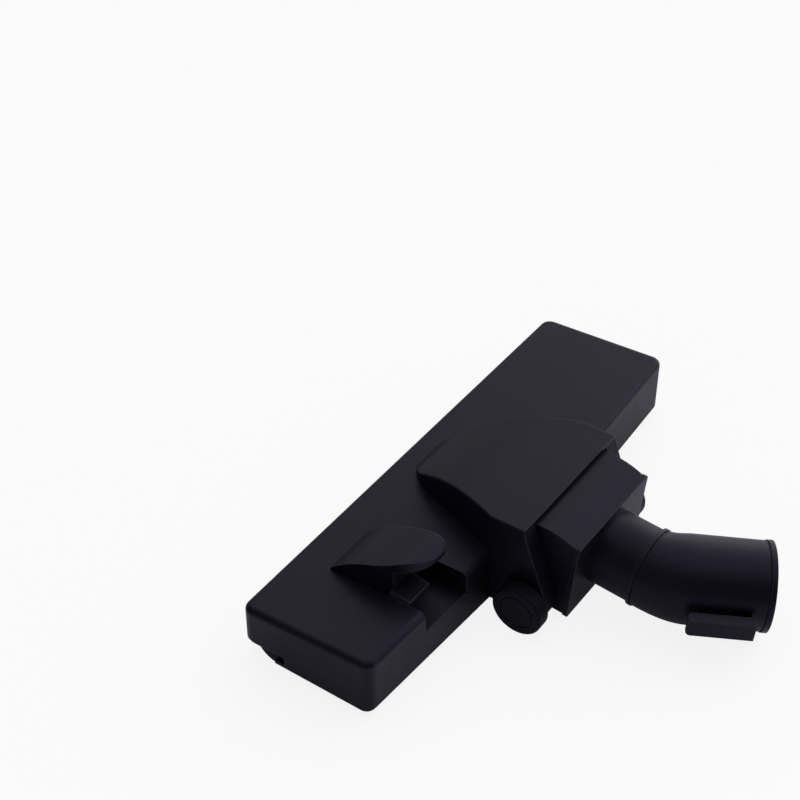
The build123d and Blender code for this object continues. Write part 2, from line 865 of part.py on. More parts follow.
os.makedirs("parts", exist_ok=True)
save("upper_shell", make_upper_shell())
save("base_plate", make_base_plate())
save("housing_screws", make_screws())
save("lint_strip_left", lint_bar(-1, lint_depth - fit_gap))
save("lint_strip_right", lint_bar(1, lint_depth - fit_gap))
for side, word in ((-1, "left"), (1, "right")):
    save("wheel_" + word, make_wheel(side))
    save("pivot_pin_" + word, make_pivot_pin(side))
save("knuckle_drum", make_knuckle_drum())
save("spigot_plate", make_spigot_plate())
save("neck_elbow", make_neck())
save("swivel_clip", make_swivel_clip())
save("swivel_seal", make_swivel_seal())
save("pedal", make_pedal())
save("pedal_pin", pedal_pin_bar())
save("link_pin", make_link_pin())
save("brush_frame", make_brush_frame())
save("bristles_front", make_bristles(front_slot))
save("bristles_rear", make_bristles(rear_slot))
save("detent_spring", make_detent_spring())
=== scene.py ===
"""Looks of a combination floor nozzle: its finishes, brushes, pile and screws, a studio and a camera.

Lengths are in metres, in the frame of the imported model: X along the head, +Y forward and +Z up.
"""

from __future__ import annotations

import logging
import math
from dataclasses import dataclass, field
from enum import Enum
from typing import Any, Mapping, Optional, Sequence, Union

import bmesh
import bpy
from mathutils import Matrix, Vector

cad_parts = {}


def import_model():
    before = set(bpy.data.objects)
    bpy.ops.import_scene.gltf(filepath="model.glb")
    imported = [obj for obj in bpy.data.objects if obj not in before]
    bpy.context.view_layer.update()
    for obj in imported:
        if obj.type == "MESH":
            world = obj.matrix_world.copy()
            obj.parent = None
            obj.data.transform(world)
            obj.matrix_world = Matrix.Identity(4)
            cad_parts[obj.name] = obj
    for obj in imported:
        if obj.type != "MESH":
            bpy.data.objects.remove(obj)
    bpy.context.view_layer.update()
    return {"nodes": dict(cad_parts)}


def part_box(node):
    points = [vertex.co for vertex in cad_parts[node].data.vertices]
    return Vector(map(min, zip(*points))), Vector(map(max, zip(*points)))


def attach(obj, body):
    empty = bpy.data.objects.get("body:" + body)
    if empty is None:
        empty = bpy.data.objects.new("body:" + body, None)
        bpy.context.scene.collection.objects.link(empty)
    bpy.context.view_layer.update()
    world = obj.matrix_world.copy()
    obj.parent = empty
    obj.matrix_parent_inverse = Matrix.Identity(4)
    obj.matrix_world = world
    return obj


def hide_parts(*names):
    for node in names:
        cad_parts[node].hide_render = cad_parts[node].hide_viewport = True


LOG = logging.getLogger("nozzle")
MM = 0.001
Colour = tuple[float, float, float]
Feed = Union["Wire", float, int, bool, Sequence[float], bpy.types.ID]


class Wire:
    """The output of a node, which takes part in Python arithmetic."""

    def __init__(self, graph: Graph, socket: bpy.types.NodeSocket) -> None:
        """Keep the tree and the socket that this wire starts from."""
        self.graph = graph
        self.socket = socket

    def other(self, name: Union[str, int]) -> Wire:
        """Another output of the same node."""
        return Wire(self.graph, self.socket.node.outputs[name])

    def maths(self, operation: str, first: Feed, second: Feed = 0.0) -> Wire:
        """One Math node on two values."""
        return self.graph.node("ShaderNodeMath", {"operation": operation}, {0: first, 1: second})

    def vector_maths(self, operation: str, second: Feed, output: str = "Vector") -> Wire:
        """One Vector Math node on this wire and another vector."""
        return self.graph.node(
            "ShaderNodeVectorMath", {"operation": operation}, {0: self, 1: second}, output
        )

    def clamped(self) -> Wire:
        """This value, kept between 0 and 1."""
        return self.graph.node("ShaderNodeClamp", {}, {"Value": self})

    def __add__(self, other: Feed) -> Wire:
        """This value plus another."""
        return self.maths("ADD", self, other)

    def __radd__(self, other: Feed) -> Wire:
        """Another value plus this one."""
        return self.maths("ADD", other, self)

    def __sub__(self, other: Feed) -> Wire:
        """This value less another."""
        return self.maths("SUBTRACT", self, other)

    def __rsub__(self, other: Feed) -> Wire:
        """Another value less this one."""
        return self.maths("SUBTRACT", other, self)

    def __mul__(self, other: Feed) -> Wire:
        """This value times another."""
        return self.maths("MULTIPLY", self, other)

    def __rmul__(self, other: Feed) -> Wire:
        """Another value times this one."""
        return self.maths("MULTIPLY", other, self)

    def __truediv__(self, other: Feed) -> Wire:
        """This value divided by another."""
        return self.maths("DIVIDE", self, other)

    def __rtruediv__(self, other: Feed) -> Wire:
        """Another value divided by this one."""
        return self.maths("DIVIDE", other, self)


class Graph:
    """A node tree that is filled in by calls."""

    def __init__(self, tree: bpy.types.NodeTree) -> None:
        """Start from an empty tree."""
        self.tree = tree
        tree.nodes.clear()

    def node(
        self,
        kind: str,
        settings: Optional[Mapping[str, Any]] = None,
        inputs: Optional[Mapping[Union[str, int], Feed]] = None,
        output: Union[str, int] = 0,
    ) -> Wire:
        """Add one node.

        Args:
            kind: The node's type name.
            settings: Properties that are set first.
            inputs: Values or wires, by the socket's name or number.
            output: The output that the wire starts from.

        Returns:
            The wire from that output.
        """
        made = self.tree.nodes.new(kind)
        for name, value in (settings or {}).items():
            setattr(made, name, value)
        for name, value in (inputs or {}).items():
            if isinstance(value, Wire):
                self.tree.links.new(value.socket, made.inputs[name])
            else:
                made.inputs[name].default_value = value
        if not made.outputs:
            return Wire(self, made.inputs[0])
        return Wire(self, made.outputs[output])

    def mix_colour(self, share: Feed, low: Feed, high: Feed) -> Wire:
        """A colour between two others."""
        settings = {"data_type": "RGBA"}
        return self.node("ShaderNodeMix", settings, {0: share, 6: low, 7: high}, 2)


class GeometryTree(Graph):
    """A Geometry Nodes tree with named sizes, which is turned into a plain mesh."""

    def __init__(self, name: str, sizes: Mapping[str, Union[float, int]]) -> None:
        """Make the tree's sockets.

        Args:
            name: The tree's name.
            sizes: The named inputs and their values.
        """
        super().__init__(bpy.data.node_groups.new(name, "GeometryNodeTree"))
        sockets = self.tree.interface
        sockets.new_socket(name="Geometry", in_out="OUTPUT", socket_type="NodeSocketGeometry")
        sockets.new_socket(name="Places", in_out="INPUT", socket_type="NodeSocketGeometry")
        self.values: dict[str, Union[float, int]] = {}
        for label, value in sizes.items():
            kind = "NodeSocketInt" if isinstance(value, int) else "NodeSocketFloat"
            made = sockets.new_socket(name=label, in_out="INPUT", socket_type=kind)
            self.values[made.identifier] = value
        self.entry = self.node("NodeGroupInput")

    def size(self, label: str) -> Wire:
        """The wire of a named input."""
        return self.entry.other(label)

    def vector(self, x: Feed = 0.0, y: Feed = 0.0, z: Feed = 0.0) -> Wire:
        """A vector from three values."""
        return self.node("ShaderNodeCombineXYZ", {}, {0: x, 1: y, 2: z})

    def spread(self, low: Feed, high: Feed, seed: Feed) -> Wire:
        """A random vector between two limits, with a fixed seed."""
        inputs = {0: low, 1: high, "Seed": seed}
        return self.node("FunctionNodeRandomValue", {"data_type": "FLOAT_VECTOR"}, inputs)

    def join(self, *parts: Wire) -> Wire:
        """Several geometries as one."""
        joined = self.node("GeometryNodeJoinGeometry")
        for part in parts:
            self.tree.links.new(part.socket, joined.socket.node.inputs[0])
        return joined

    def bake(
        self, name: str, geometry: Wire, material: bpy.types.Material, places: bpy.types.Mesh
    ) -> bpy.types.Object:
        """Close the tree and turn what it makes into one plain mesh object.

        Args:
            name: The piece's name.
            geometry: What the tree has made.
            material: The finish of the whole piece.
            places: The mesh that the tree starts from, which may be empty.

        Returns:
            The piece, at the origin.
        """
        real = self.node("GeometryNodeRealizeInstances", {}, {0: geometry})
        inputs = {"Geometry": real, "Material": material}
        dressed = self.node("GeometryNodeSetMaterial", {}, inputs)
        self.node("NodeGroupOutput", {}, {0: dressed})
        maker = bpy.data.objects.new(name + "_maker", places)
        bpy.context.scene.collection.objects.link(maker)
        modifier = maker.modifiers.new("maker", "NODES")
        modifier.node_group = self.tree
        for identifier, value in self.values.items():
            modifier[identifier] = value
        depsgraph = bpy.context.evaluated_depsgraph_get()
        mesh = bpy.data.meshes.new_from_object(maker.evaluated_get(depsgraph))
        maker.modifiers.remove(modifier)
        bpy.data.objects.remove(maker)
        if not mesh.materials:
            mesh.materials.append(material)
        return new_piece(name, mesh)


def new_piece(name: str, mesh: bpy.types.Mesh) -> bpy.types.Object:
    """Put a mesh into the scene under its own name."""
    mesh.name = name
    piece = bpy.data.objects.new(name, mesh)
    bpy.context.scene.collection.objects.link(piece)
    return piece


class ShaderTree(Graph):
    """A material's tree, with the coordinates and the shader that every finish uses."""

    def __init__(self, name: str) -> None:
        """Make the material and an empty tree."""
        self.material = bpy.data.materials.new(name)
        self.material.use_nodes = True
        super().__init__(self.material.node_tree)
        self.place = self.node("ShaderNodeTexCoord", {}, {}, "Object")

    def noise(self, size: float, detail: float = 2.0, stretch: Optional[Colour] = None) -> Wire:
        """Soft noise with features of about one size.

        Args:
            size: The features' size.
            detail: How many finer layers it has.
            stretch: Scale on each axis, where the features are drawn out.

        Returns:
            The noise, around one half.
        """
        place = self.place
        if stretch is not None:
            place = self.node("ShaderNodeMapping", {}, {"Vector": place, "Scale": stretch})
        inputs = {"Vector": place, "Scale": 1.0 / size, "Detail": detail, "Roughness": 0.55}
        return self.node("ShaderNodeTexNoise", {}, inputs)

    def grains(self, size: float) -> Wire:
        """Distance from the middle of small cells, as on spark-eroded mould walls."""
        inputs = {"Vector": self.place, "Scale": 1.0 / size}
        return self.node("ShaderNodeTexVoronoi", {"feature": "SMOOTH_F1"}, inputs, "Distance")

    def bevel(self, radius: float, samples: int = 6) -> Wire:
        """The surface normal, turned a little at edges."""
        return self.node("ShaderNodeBevel", {"samples": samples}, {"Radius": radius})

    def edge_mask(self, softened: Wire, reach: float) -> Wire:
        """How far an outer edge has turned the normal.

        Args:
            softened: The normal from a Bevel node.
            reach: How far an inner corner darkens its surroundings.

        Returns:
            0 on a flat face and in an inner corner, 1 on a sharp outer corner.
        """
        edge_gain = 5.0
        open_from = 0.8
        open_gain = 5.0
        facing = self.node("ShaderNodeNewGeometry", {}, {}, "Normal")
        alike = softened.vector_maths("DOT_PRODUCT", facing, "Value")
        settings = {"samples": 4, "only_local": True}
        opened = self.node("ShaderNodeAmbientOcclusion", settings, {"Distance": reach}, "AO")
        turned = ((1.0 - alike) * edge_gain).clamped()
        return turned * ((opened - open_from) * open_gain).clamped()

    def bump(self, height: Feed, distance: float, strength: float, normal: Wire) -> Wire:
        """A Bump node on top of another normal."""
        inputs = {"Strength": strength, "Distance": distance, "Height": height, "Normal": normal}
        return self.node("ShaderNodeBump", {}, inputs)

    def finish(self, inputs: Mapping[str, Feed]) -> bpy.types.Material:
        """Close the tree with one shader."""
        shader = self.node("ShaderNodeBsdfPrincipled", {}, inputs)
        self.node("ShaderNodeOutputMaterial", {}, {"Surface": shader})
        return self.material


def rgba(colour: Colour, factor: float = 1.0) -> tuple[float, float, float, float]:
    """A colour with its alpha, made lighter or darker by a factor."""
    return (colour[0] * factor, colour[1] * factor, colour[2] * factor, 1.0)


@dataclass(frozen=True)
class MouldedPlastic:
    """Satin plastic with the fine grain of its mould, real scuffs, and a painted highlight along its
    outer edges.
    """

    name: str
    colour: Colour = (0.0048, 0.0045, 0.0066)
    gloss_tint: Colour = (0.70, 0.63, 1.0)
    refraction: float = 1.27
    roughness: float = 0.40
    grain: float = 0.55 * MM
    grain_depth: float = 0.035 * MM
    patch: float = 26.0 * MM
    mottle: float = 0.22
    edge_radius: float = 0.55 * MM
    # pale colour of the painted highlight on outer edges, also used for real scuff marks
    highlight_and_scuff_colour: Colour = (0.066, 0.063, 0.074)
    edge_highlight_and_wear: float = 0.85
    edge_polish: float = 0.08
    scuffs: float = 0.0
    scuff_size: float = 3.5 * MM
    scuff_stretch: Colour = (1.0, 0.12, 0.6)
    scuff_start: float = 0.52
    speckle_scale: float = 2.2
    speckle_tone: float = 0.25
    dark_tone: float = 0.86
    light_tone: float = 1.3
    patch_roughness: float = 0.14
    speckle_roughness: float = 0.10
    cell_height: float = 0.7
    speckle_height: float = 0.5
    bump_strength: float = 0.55

    def make(self) -> bpy.types.Material:
        """Build the material."""
        tree = ShaderTree(self.name)
        softened = tree.bevel(self.edge_radius)
        edge = tree.edge_mask(softened, 2.0 * self.edge_radius)
        patches = tree.noise(self.patch, 3.0)
        cells = tree.grains(self.grain)
        speckle = tree.noise(self.grain * self.speckle_scale, 2.0)
        lines = tree.noise(self.scuff_size, 4.0, self.scuff_stretch)
        scuffed = (lines - self.scuff_start).clamped() * self.scuffs
        # painted highlight: outer edges, but not inner corners, are lightened as if they caught the
        # light; real scuffs are added to it
        edge_highlight_and_scuffs = (edge * self.edge_highlight_and_wear + scuffed).clamped()
        tone = tree.mix_colour(
            (patches * self.mottle + speckle * self.speckle_tone).clamped(),
            rgba(self.colour, self.dark_tone),
            rgba(self.colour, self.light_tone),
        )
        colour = tree.mix_colour(edge_highlight_and_scuffs, tone, rgba(self.highlight_and_scuff_colour))
        uneven = (patches - 0.5) * self.patch_roughness
        grainy = (speckle - 0.5) * self.speckle_roughness
        roughness = self.roughness + uneven + grainy - edge * self.edge_polish
        height = cells * self.cell_height + speckle * self.speckle_height
        return tree.finish(
            {
                "Base Color": colour,
                "Roughness": roughness,
                "IOR": self.refraction,
                "Specular Tint": rgba(self.gloss_tint),
                "Normal": tree.bump(height, self.grain_depth, self.bump_strength, softened),
            }
        )


@dataclass(frozen=True)
class DrawnSteel:
    """Bright steel with fine lines along its length."""

    name: str
    colour: Colour = (0.50, 0.50, 0.52)
    roughness: float = 0.30
    stretch: Colour = (0.06, 1.0, 1.0)

    def make(self) -> bpy.types.Material:
        """Build the material."""
        tree = ShaderTree(self.name)
        lines = tree.noise(0.5 * MM, 4.0, self.stretch)
        stains = tree.noise(4.0 * MM, 3.0)
        softened = tree.bevel(0.2 * MM, 4)
        colour = tree.mix_colour(stains, rgba(self.colour, 0.75), rgba(self.colour, 1.15))
        roughness = self.roughness + (lines - 0.5) * 0.25 + (stains - 0.5) * 0.1
        return tree.finish(
            {
                "Base Color": colour,
                "Metallic": 1.0,
                "Roughness": roughness,
                "Normal": tree.bump(lines, 0.01 * MM, 0.4, softened),
            }
        )


@dataclass(frozen=True)
class Fibre:
    """Fine strands, each a little lighter or darker than the next."""

    name: str
    colour: Colour
    roughness: float
    shade_size: float
    sheen: float

    def make(self) -> bpy.types.Material:
        """Build the material."""
        tree = ShaderTree(self.name)
        strands = tree.noise(self.shade_size, 2.0)
        patches = tree.noise(self.shade_size * 12.0, 2.0)
        share = (strands * 0.7 + patches * 0.5 - 0.1).clamped()
        colour = tree.mix_colour(share, rgba(self.colour, 0.5), rgba(self.colour, 1.5))
        return tree.finish(
            {
                "Base Color": colour,
                "Roughness": self.roughness + (strands - 0.5) * 0.2,
                "Sheen Weight": self.sheen,
                "Sheen Roughness": 0.4,
            }
        )


@dataclass(frozen=True)
class SoftRubber:
    """Dull black rubber with a faint bloom."""

    name: str
    colour: Colour = (0.012, 0.012, 0.012)

    def make(self) -> bpy.types.Material:
        """Build the material."""
        tree = ShaderTree(self.name)
        bloom = tree.noise(1.6 * MM, 4.0)
        colour = tree.mix_colour(bloom, rgba(self.colour, 0.7), rgba(self.colour, 2.0))
        softened = tree.bevel(0.2 * MM, 4)
        return tree.finish(
            {
                "Base Color": colour,
                "Roughness": 0.7 + (bloom - 0.5) * 0.2,
                "Normal": tree.bump(bloom, 0.02 * MM, 0.4, softened),
            }
        )


class Finish(Enum):
    """Every finish on the nozzle."""

    SHELL = MouldedPlastic("shell_grain")
    BASE = MouldedPlastic("sole_plastic", roughness=0.36, scuffs=0.5, mottle=0.3)
    KNUCKLE = MouldedPlastic("knuckle_grain", roughness=0.42)
    NECK = MouldedPlastic("neck_grain", roughness=0.38)
    # full-strength painted highlight on the pedal's outer edges, together with the rubbing wear of a
    # foot pedal
    PEDAL = MouldedPlastic("pedal_grain", colour=(0.0054, 0.0050, 0.0074), edge_highlight_and_wear=1.0)
    WHEEL = MouldedPlastic("wheel_plastic", refraction=1.2, roughness=0.48, scuffs=0.3)
    FRAME = MouldedPlastic("frame_plastic", colour=(0.010, 0.010, 0.012), roughness=0.45)
    PIN = DrawnSteel("drawn_pin")
    SCREW = DrawnSteel("plated_screw", (0.56, 0.54, 0.48), 0.26, (1.0, 1.0, 1.0))
    SPRING = DrawnSteel("blued_spring", (0.20, 0.22, 0.28), 0.32)
    BRISTLE = Fibre("nylon_bristle", (0.012, 0.012, 0.014), 0.42, 0.5 * MM, 0.0)
    PILE = Fibre("red_pile", (0.30, 0.022, 0.022), 0.85, 0.4 * MM, 0.4)
    SEAL = SoftRubber("seal_rubber")


class FinishShelf:
    """Makes each finish once and hands it out."""

    def __init__(self) -> None:
        """Start with nothing made."""
        self.made: dict[Finish, bpy.types.Material] = {}

    def get(self, finish: Finish) -> bpy.types.Material:
        """The material of a finish."""
        if finish not in self.made:
            self.made[finish] = finish.value.make()
        return self.made[finish]


NODE_FINISHES: dict[str, Finish] = {
    "upper_shell": Finish.SHELL,
    "base_plate": Finish.BASE,
    "knuckle_drum": Finish.KNUCKLE,
    "spigot_plate": Finish.KNUCKLE,
    "neck_elbow": Finish.NECK,
    "swivel_clip": Finish.FRAME,
    "swivel_seal": Finish.SEAL,
    "pedal": Finish.PEDAL,
    "wheel_left": Finish.WHEEL,
    "wheel_right": Finish.WHEEL,
    "pivot_pin_left": Finish.PIN,
    "pivot_pin_right": Finish.PIN,
    "pedal_pin": Finish.PIN,
    "link_pin": Finish.PIN,
    "brush_frame": Finish.FRAME,
    "detent_spring": Finish.SPRING,
}


@dataclass
class Mouldings:
    """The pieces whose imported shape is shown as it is, and which only take a finish."""

    nodes: Mapping[str, bpy.types.Object]
    shelf: FinishShelf

    def dress(self) -> None:
        """Give every shown node its finish."""
        for name, finish in NODE_FINISHES.items():
            node = self.nodes[name]
            material = self.shelf.get(finish)
            if not node.material_slots:
                node.data.materials.append(material)
            for slot in node.material_slots:
                slot.material = material
            LOG.info("%s: %s", name, finish.value.name)


@dataclass
class BrushStrip:
    """One row of bristle tufts on its backing."""

    node: str
    shelf: FinishShelf
    pitch: float = 5.6 * MM
    backing: float = 2.5 * MM
    tuft_radius: float = 1.15 * MM
    bristle_root: float = 0.17 * MM
    bristle_tip: float = 0.11 * MM
    bristles: int = 34
    splay_degrees: float = 4.0
    seed: int = 7
    body: str = "brush"

    def build(self) -> bpy.types.Object:
        """Make the strip in the place of its node."""
        low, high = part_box(self.node)
        length = high.x - low.x
        count = int(length / self.pitch)
        sizes = {
            "Pitch": length / count,
            "Tufts": count,
            "Free Length": high.z - self.backing - low.z,
            "Tuft Radius": self.tuft_radius,
            "Bristles": self.bristles,
            "Root Radius": self.bristle_root,
            "Tip Radius": self.bristle_tip,
            "Backing Height": self.backing,
            "Backing Width": high.y - low.y,
        }
        tree = GeometryTree(self.node + "_tree", sizes)
        middle = (low.y + high.y) / 2
        root = high.z - self.backing
        tuft = self._tuft(tree)
        first = low.x + length / count / 2
        line = tree.node(
            "GeometryNodeMeshLine",
            {"mode": "OFFSET"},
            {
                "Count": tree.size("Tufts"),
                "Start Location": (first, middle, root),
                "Offset": tree.vector(tree.size("Pitch")),
            },
        )
        turn = tree.spread((0.0, 0.0, 0.0), (0.0, 0.0, math.tau), self.seed)
        tufts = tree.node(
            "GeometryNodeInstanceOnPoints", {}, {"Points": line, "Instance": tuft, "Rotation": turn}
        )
        bar = tree.node(
            "GeometryNodeMeshCube",
            {},
            {"Size": tree.vector(length, tree.size("Backing Width"), tree.size("Backing Height"))},
        )
        centre = ((low.x + high.x) / 2, middle, root + self.backing / 2)
        placed = tree.node("GeometryNodeTransform", {}, {"Geometry": bar, "Translation": centre})
        material = self.shelf.get(Finish.BRISTLE)
        empty = bpy.data.meshes.new(self.node + "_start")
        strip = tree.bake(self.node + "_strip", tree.join(tufts, placed), material, empty)
        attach(strip, self.body)
        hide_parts(self.node)
        LOG.info("%s: %d tufts", strip.name, count)
        return strip

    def _tuft(self, tree: GeometryTree) -> Wire:
        """One tuft of tapered bristles that hang from its root and splay a little."""
        disc = tree.node(
            "GeometryNodeMeshCircle",
            {"fill_type": "NGON"},
            {"Vertices": 12, "Radius": tree.size("Tuft Radius")},
        )
        area = math.pi * self.tuft_radius**2
        roots = tree.node(
            "GeometryNodeDistributePointsOnFaces",
            {},
            {"Mesh": disc, "Density": tree.size("Bristles") / area, "Seed": self.seed},
        )
        bristle = tree.node(
            "GeometryNodeMeshCone",
            {},
            {
                "Vertices": 5,
                "Side Segments": 1,
                "Radius Top": tree.size("Tip Radius"),
                "Radius Bottom": tree.size("Root Radius"),
                "Depth": tree.size("Free Length"),
            },
        )
        hanging = tree.node(
            "GeometryNodeTransform", {}, {"Geometry": bristle, "Rotation": (math.pi, 0.0, 0.0)}
        )
        splay = math.radians(self.splay_degrees)
        lean = tree.spread((-splay, -splay, 0.0), (splay, splay, math.tau), self.seed + 1)
        length = tree.spread((1.0, 1.0, 0.93), (1.0, 1.0, 1.0), self.seed + 2)
        return tree.node(
            "GeometryNodeInstanceOnPoints",
            {},
            {"Points": roots, "Instance": hanging, "Rotation": lean, "Scale": length},
        )


@dataclass
class PileStrip:
    """A thread-lifting strip: short slanted pile on a thin backing."""

    node: str
    shelf: FinishShelf
    backing: float = 0.3 * MM
    fibre_root: float = 0.14 * MM
    fibre_tip: float = 0.06 * MM
    per_square_mm: float = 7.0
    slant_degrees: float = 24.0
    seed: int = 21
    body: str = "head"

    def build(self) -> bpy.types.Object:
        """Make the strip in the place of its node."""
        low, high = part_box(self.node)
        size = high - low
        middle = (low + high) / 2
        sizes = {
            "Length": size.x,
            "Width": size.y,
            "Backing": self.backing,
            "Fibre Length": size.z - self.backing,
            "Fibre Root": self.fibre_root,
            "Fibre Tip": self.fibre_tip,
            "Density": self.per_square_mm / MM**2,
        }
        tree = GeometryTree(self.node + "_tree", sizes)
        field_mesh = tree.node(
            "GeometryNodeMeshGrid",
            {},
            {
                "Size X": tree.size("Length"),
                "Size Y": tree.size("Width"),
                "Vertices X": 2,
                "Vertices Y": 2,
            },
        )
        face = high.z - self.backing
        laid = tree.node(
            "GeometryNodeTransform",
            {},
            {"Geometry": field_mesh, "Translation": (middle.x, middle.y, face)},
        )
        roots = tree.node(
            "GeometryNodeDistributePointsOnFaces",
            {},
            {"Mesh": laid, "Density": tree.size("Density"), "Seed": self.seed},
        )
        fibre = tree.node(
            "GeometryNodeMeshCone",
            {},
            {
                "Vertices": 4,
                "Side Segments": 1,
                "Radius Top": tree.size("Fibre Tip"),
                "Radius Bottom": tree.size("Fibre Root"),
                "Depth": tree.size("Fibre Length"),
            },
        )
        slant = math.radians(self.slant_degrees)
        lean = tree.spread(
            (math.pi - 0.2 * slant, -0.5 * slant, 0.0), (math.pi + slant, 0.5 * slant, 0.6), self.seed
        )
        pile = tree.node(
            "GeometryNodeInstanceOnPoints", {}, {"Points": roots, "Instance": fibre, "Rotation": lean}
        )
        bar = tree.node(
            "GeometryNodeMeshCube",
            {},
            {"Size": tree.vector(tree.size("Length"), tree.size("Width"), tree.size("Backing"))},
        )
        backing_place = (middle.x, middle.y, high.z - self.backing / 2)
        placed = tree.node("GeometryNodeTransform", {}, {"Geometry": bar, "Translation": backing_place})
        material = self.shelf.get(Finish.PILE)
        empty = bpy.data.meshes.new(self.node + "_start")
        strip = tree.bake(self.node + "_pile", tree.join(pile, placed), material, empty)
        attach(strip, self.body)
        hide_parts(self.node)
        LOG.info("%s: pile of %d faces", strip.name, len(strip.data.polygons))
        return strip


@dataclass
class ScrewSet:
    """The sole's screws: pan heads with a cross recess, sunk in the sole."""

    shelf: FinishShelf
    node: str = "housing_screws"
    head_height: float = 1.7 * MM
    dome: float = 0.5 * MM
    shank_radius: float = 1.45 * MM
    recess_length: float = 3.2 * MM
    recess_width: float = 0.75 * MM
    recess_depth: float = 1.0 * MM
    cluster_gap: float = 8.0 * MM
    segments: int = 32
    head_rim: float = 0.25 * MM
    tip_share: float = 0.35
    dome_steps: int = 4
    turn_seed: int = 5
    body: str = "head"

    def build(self, node: bpy.types.Object) -> bpy.types.Object:
        """Make all the screws in the place of their node."""
        low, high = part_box(self.node)
        places = self._find_places(node, low.z)
        radius = (high.y - low.y) / 2
        screw = self._model(radius, high.z - low.z)
        start = bpy.data.meshes.new(self.node + "_start")
        start.from_pydata(places, [], [])
        tree = GeometryTree(self.node + "_tree", {"Seed": self.turn_seed})
        model = tree.node("GeometryNodeObjectInfo", {}, {"Object": screw}, "Geometry")
        turn = tree.spread((0.0, 0.0, 0.0), (0.0, 0.0, math.tau), tree.size("Seed"))
        inputs = {"Points": tree.size("Places"), "Instance": model, "Rotation": turn}
        screws = tree.node("GeometryNodeInstanceOnPoints", {}, inputs)
        material = self.shelf.get(Finish.SCREW)
        group = tree.bake("housing_screw_set", screws, material, start)
        bpy.data.objects.remove(screw)
        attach(group, self.body)
        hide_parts(self.node)
        LOG.info("%s: %d screws, %d faces", group.name, len(places), len(group.data.polygons))
        return group

    def _find_places(self, node: bpy.types.Object, bottom: float) -> list[Vector]:
        """The foot of each screw's axis, from the gaps between the node's points along X."""
        points = sorted((vertex.co.copy() for vertex in node.data.vertices), key=lambda co: co.x)
        groups: list[list[Vector]] = [[points[0]]]
        for point in points[1:]:
            if point.x - groups[-1][-1].x > self.cluster_gap:
                groups.append([])
            groups[-1].append(point)
        places = []
        for group in groups:
            xs = [point.x for point in group]
            ys = [point.y for point in group]
            places.append(Vector(((min(xs) + max(xs)) / 2, (min(ys) + max(ys)) / 2, bottom)))
        return places

    def _model(self, radius: float, length: float) -> bpy.types.Object:
        """One screw on its own axis, head down, with a cross cut into the head."""
        profile = [(0.0, 0.0)]
        for step in range(1, self.dome_steps + 1):
            turn = math.radians(90.0 * step / self.dome_steps)
            profile.append((radius * math.sin(turn), self.dome * (1 - math.cos(turn))))
        profile += [
            (radius, self.head_height - self.head_rim),
            (radius - self.head_rim, self.head_height),
            (self.shank_radius, self.head_height),
            (self.shank_radius, length - self.shank_radius),
            (self.tip_share * self.shank_radius, length),
            (0.0, length),
        ]
        body = new_piece("screw_model", spun_mesh(profile, self.segments))
        cross = cross_mesh(self.recess_length, self.recess_width, self.recess_depth)
        cutter = new_piece("screw_cutter", cross)
        cut = body.modifiers.new("cross", "BOOLEAN")
        cut.object = cutter
        cut.solver = "EXACT"
        depsgraph = bpy.context.evaluated_depsgraph_get()
        mesh = bpy.data.meshes.new_from_object(body.evaluated_get(depsgraph))
        bpy.data.objects.remove(body)
        bpy.data.objects.remove(cutter)
        return new_piece("screw_pattern", mesh)


def spun_mesh(profile: Sequence[tuple[float, float]], segments: int) -> bpy.types.Mesh:
    """A closed solid of revolution about Z.

    Args:
        profile: Radius and height of each point, starting and ending on the axis.
        segments: Steps round the axis.

    Returns:
        The mesh, with its faces pointing outwards.
    """
    form = bmesh.new()
    line = [form.verts.new((radius, 0.0, height)) for radius, height in profile]
    edges = [form.edges.new(pair) for pair in zip(line, line[1:])]
    bmesh.ops.spin(
        form, geom=line + edges, cent=(0, 0, 0), axis=(0, 0, 1), angle=math.tau, steps=segments
    )
    bmesh.ops.remove_doubles(form, verts=form.verts, dist=1e-6)
    bmesh.ops.recalc_face_normals(form, faces=form.faces)
    mesh = bpy.data.meshes.new("spun")
    form.to_mesh(mesh)
    form.free()
    return mesh


def cross_mesh(length: float, width: float, depth: float) -> bpy.types.Mesh:
    """A tapered cross that cuts a screw's recess from below.

    Args:
        length: The cross's length over two arms, at its wide end.
        width: The width of an arm, at its wide end.
        depth: How far it reaches above and below the screw's face.

    Returns:
        The closed mesh, with its faces pointing outwards.
    """
    arm_taper = 0.45
    width_taper = 0.8
    form = bmesh.new()
    wide = cross_ring(form, length / 2, width / 2, -depth)
    narrow = cross_ring(form, arm_taper * length / 2, width_taper * width / 2, depth)
    form.faces.new(wide)
    form.faces.new(narrow)
    for index, corner in enumerate(wide):
        form.faces.new((wide[index - 1], corner, narrow[index], narrow[index - 1]))
    bmesh.ops.recalc_face_normals(form, faces=form.faces)
    mesh = bpy.data.meshes.new("cross")
    form.to_mesh(mesh)
    form.free()
    return mesh


def cross_ring(
    form: bmesh.types.BMesh, reach: float, half: float, height: float
) -> list[bmesh.types.BMVert]:
    """The twelve corners of a cross at one height.

    Args:
        form: The mesh that the corners are added to.
        reach: How far each arm reaches from the middle.
        half: Half an arm's width.
        height: The corners' height.

    Returns:
        The corners, in order round the cross.
    """
    corners = []
    for quarter in range(4):
        turn = Matrix.Rotation(math.pi / 2 * quarter, 3, "Z")
        for x, y in ((reach, -half), (reach, half), (half, half)):
            corners.append(form.verts.new(turn @ Vector((x, y, height))))
    return corners


@dataclass(frozen=True)
class SoftBox:
    """A broad patch of studio light: brightest in one direction and gone at its edge."""

    direction: Colour
    edge: float
    strength: float

    def level(self, way: Wire) -> Wire:
        """How bright the patch is along a direction.

        Args:
            way: The direction that is looked in.

        Returns:
            The patch's strength at its middle, falling evenly to 0 at its edge.
        """
        nearness = way.vector_maths("DOT_PRODUCT", self.direction, "Value")
        return (nearness - self.edge).clamped() * (self.strength / (1.0 - self.edge))


